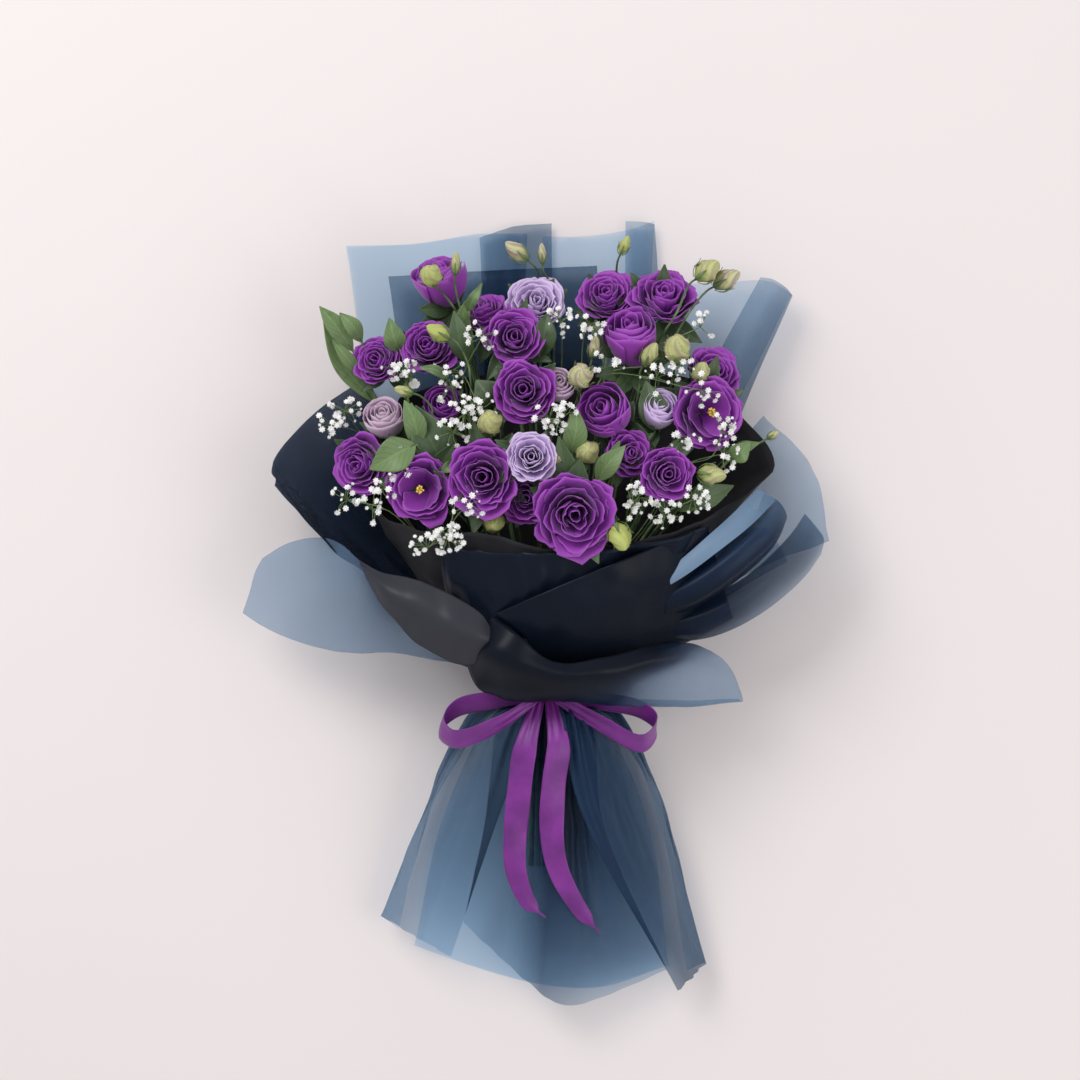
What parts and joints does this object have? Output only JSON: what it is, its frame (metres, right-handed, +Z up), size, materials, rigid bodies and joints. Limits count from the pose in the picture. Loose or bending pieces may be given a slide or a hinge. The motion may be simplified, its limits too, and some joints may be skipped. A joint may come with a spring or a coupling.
{
  "type": "lisianthus bouquet",
  "caption": "Hand-tied lisianthus bouquet lying on its back, wrapped in fanned translucent film with a black liner and a satin bow.",
  "frame": {"origin": "under the middle of the footprint, on the surface that the bouquet lies on", "axes": "+Z up, the side that the flowers face; +Y from the tie towards the flower heads; +X to the right seen from above with the heads away"},
  "size_m": [0.5192, 0.7041, 0.2084],
  "materials": {
    "petal_purple": "velvety dark violet petal with paler ruffled edges",
    "petal_lavender": "soft lavender petal with pale rims",
    "petal_mauve": "half-open greyish mauve petal",
    "stem_green": "waxy grey-green stem and leaf",
    "sprig_green": "thin green thread with small white florets",
    "film_blue": "translucent frosted blue-grey film, satin gloss",
    "liner_black": "matte black liner sheet",
    "twine_jute": "rough natural twine",
    "ribbon_satin": "purple satin weave with a soft sheen"
  },
  "bodies": {
    "root": {"bloom_01": "petal_purple", "bloom_02": "petal_purple", "bloom_03": "petal_lavender", "bloom_04": "petal_purple", "bloom_05": "petal_purple", "bloom_06": "petal_purple", "bloom_07": "petal_purple", "bloom_08": "petal_purple", "bloom_09": "petal_purple", "bloom_10": "petal_purple", "bloom_11": "petal_purple", "bloom_12": "petal_purple", "bloom_13": "petal_purple", "bloom_14": "petal_purple", "bloom_15": "petal_purple", "bloom_16": "petal_mauve", "bloom_17": "petal_lavender", "bloom_18": "petal_purple", "bloom_19": "petal_purple", "bloom_20": "petal_purple", "bloom_21": "petal_lavender", "bloom_22": "petal_purple", "bloom_23": "petal_purple", "bloom_24": "petal_purple", "bloom_25": "petal_mauve", "spray_stem_01": "stem_green", "spray_stem_02": "stem_green", "spray_stem_03": "stem_green", "spray_stem_04": "stem_green", "spray_stem_05": "stem_green", "spray_stem_06": "stem_green", "spray_stem_07": "stem_green", "spray_stem_08": "stem_green", "spray_stem_09": "stem_green", "spray_stem_10": "stem_green", "gypsophila_sprig_01": "sprig_green", "gypsophila_sprig_02": "sprig_green", "gypsophila_sprig_03": "sprig_green", "gypsophila_sprig_04": "sprig_green", "gypsophila_sprig_05": "sprig_green", "black_liner": "liner_black", "inner_back_film": "film_blue", "front_collar_film": "film_blue", "back_film_fold": "film_blue", "left_side_film": "film_blue", "right_rolled_film": "film_blue", "back_film_right": "film_blue", "right_side_film": "film_blue", "left_wing_film": "film_blue", "back_film_left": "film_blue", "right_lower_film": "film_blue", "right_wing_film": "film_blue", "skirt_back": "film_blue", "skirt_centre": "film_blue", "skirt_left": "film_blue", "skirt_right": "film_blue", "binding_twine": "twine_jute", "satin_ribbon": "ribbon_satin"}
  },
  "joints": []
}
